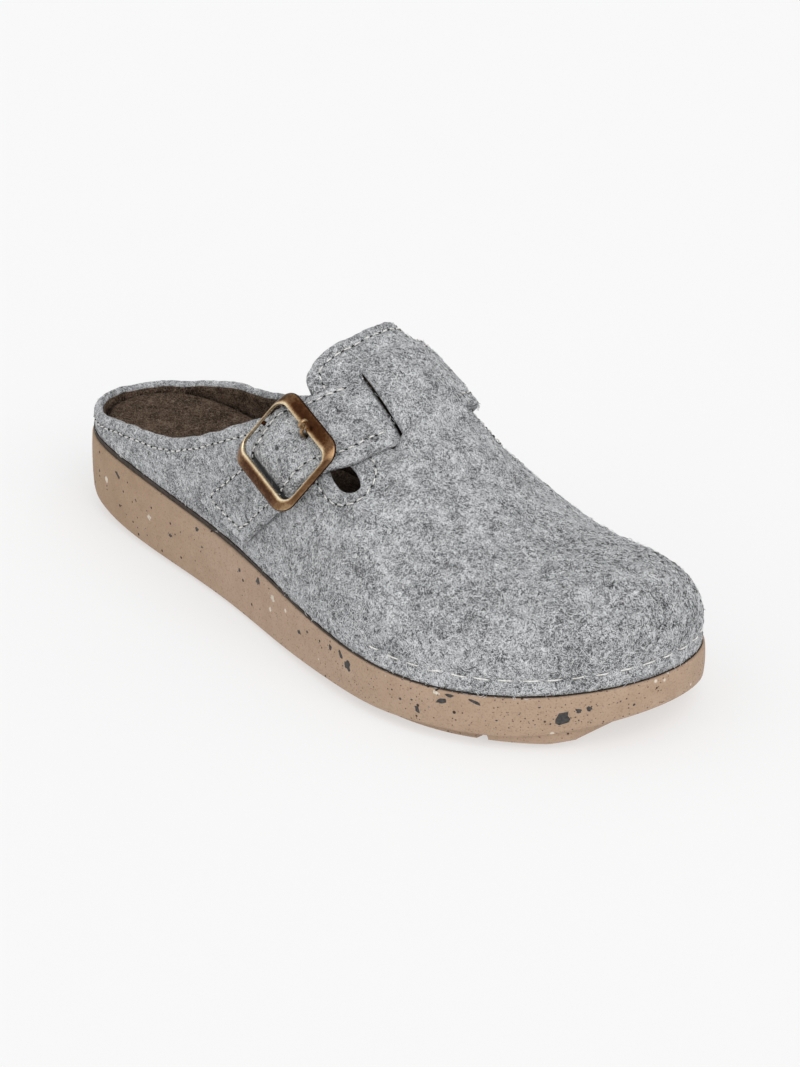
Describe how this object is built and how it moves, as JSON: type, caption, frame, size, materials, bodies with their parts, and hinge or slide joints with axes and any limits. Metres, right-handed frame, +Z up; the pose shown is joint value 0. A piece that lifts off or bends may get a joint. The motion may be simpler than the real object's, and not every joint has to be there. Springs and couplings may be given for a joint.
{
  "type": "slipper",
  "caption": "Open-back felt clog slipper for the right foot, with a buckled strap over the instep, a felt insole and a thick speckled sole.",
  "frame": {"origin": "on the floor, under the middle of the sole", "axes": "+X towards the toe, +Y towards the medial side of the right foot, +Z up"},
  "size_m": [0.2556, 0.0995, 0.0955],
  "materials": {
    "sole": "matt moulded tan with dark specks",
    "midsole": "dark brown matt edge",
    "insole": "brown felt",
    "upper": "grey melange felt with a loose nap",
    "strap": "grey melange felt with a loose nap",
    "buckle": "antique brass with rubbed inner edges",
    "prong": "antique brass"
  },
  "bodies": {
    "root": {"sole": "sole", "midsole": "midsole", "insole": "insole", "upper": "upper", "strap": "strap", "buckle_frame": "buckle", "buckle_prong": "prong"}
  },
  "joints": []
}
